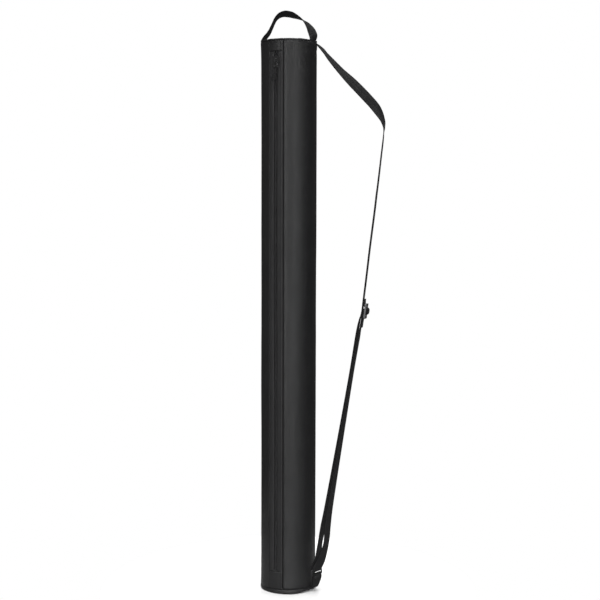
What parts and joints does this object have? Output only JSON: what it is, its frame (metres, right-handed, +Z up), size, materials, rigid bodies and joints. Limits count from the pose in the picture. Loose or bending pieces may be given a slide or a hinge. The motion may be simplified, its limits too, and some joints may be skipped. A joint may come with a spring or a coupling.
{
  "type": "music stand carrying bag",
  "caption": "Long padded tubular carrying bag with a full-length zip, a hand loop and an adjustable shoulder strap, for a folded stand.",
  "frame": {"origin": "centre of the flat bottom that the bag stands on", "axes": "+Z up along the tube, -Y the front with the zip on its left half, +X the side with the shoulder strap"},
  "size_m": [0.1983, 0.0886, 0.9184],
  "materials": {
    "outer_fabric": "woven polyester, satin",
    "lining_fabric": "thin plain weave",
    "foam": "matte foam",
    "board": "matte board",
    "zip_tape": "ribbed tape",
    "zip_coil": "satin nylon",
    "zip_metal": "gloss black paint",
    "webbing": "ribbed webbing",
    "slide_plastic": "satin moulded",
    "ring_plastic": "satin moulded",
    "thread": "twisted polyester thread"
  },
  "bodies": {
    "bag": {"outer_shell": "outer_fabric", "foam_padding": "foam", "lining": "lining_fabric", "top_end_cap": "outer_fabric", "bottom_end_cap": "outer_fabric", "top_foam_disc": "foam", "bottom_foam_disc": "foam", "bottom_board": "board", "top_rim_binding": "outer_fabric", "bottom_rim_binding": "outer_fabric", "inner_seam_tape_top": "lining_fabric", "inner_seam_tape_bottom": "lining_fabric", "zip_tape_left": "zip_tape", "zip_tape_right": "zip_tape", "zip_coil_left": "zip_coil", "zip_coil_right": "zip_coil", "zip_top_stops": "zip_metal", "zip_bottom_stop": "zip_metal", "zip_top_patch": "outer_fabric", "zip_bottom_patch": "outer_fabric", "zip_topstitching": "thread", "handle_foot_left": "webbing", "handle_foot_right": "webbing", "strap_top_anchor": "webbing", "strap_ring_loop": "webbing", "ring_tab": "webbing", "ring_tab_stitches": "thread"},
    "slider": {"zip_slider": "zip_metal"},
    "pull": {"zip_pull": "zip_metal"},
    "handle": {"handle_loop": "webbing"},
    "strap": {"strap_upper": "webbing", "strap_lower": "webbing", "strap_return": "webbing"},
    "strap_adjuster": {"tri_glide": "slide_plastic", "strap_end_loop": "webbing", "strap_bight": "webbing", "strap_end_stitches": "thread"},
    "ring": {"strap_ring": "ring_plastic"}
  },
  "joints": [
    {"name": "zip_slide", "type": "slide", "parent": "bag", "child": "slider", "axis": [0, 0, -1], "range_m": [0, 0.787]},
    {"name": "zip_pull_swing", "type": "hinge", "parent": "slider", "child": "pull", "pos_m": [-0.02141, -0.04026, 0.8326], "axis": [-0.8796, 0.4677, 0.0872], "range_deg": [0, 150]},
    {"name": "hand_loop_flop", "type": "hinge", "parent": "bag", "child": "handle", "pos_m": [-0.00035, -0.01225, 0.87935], "axis": [0.9602, -0.2794, 0.0013], "range_deg": [-45, 45], "stiffness_Nm_per_rad": 0.004},
    {"name": "strap_swing", "type": "hinge", "parent": "bag", "child": "strap", "pos_m": [0.0455, -0.0054, 0.864], "axis": [0.0007, 0.0265, 0.9996], "range_deg": [-50, 50], "stiffness_Nm_per_rad": 0.02},
    {"name": "strap_adjust", "type": "slide", "parent": "strap", "child": "strap_adjuster", "axis": [0.115, 0.012, 0.9933], "range_m": [0, 0.14], "deforming": ["strap_return"]},
    {"name": "ring_swing", "type": "hinge", "parent": "bag", "child": "ring", "pos_m": [0.0455, -0.0245, 0.027], "axis": [0.8703, 0.4501, 0.2001], "range_deg": [-4, 4]}
  ]
}
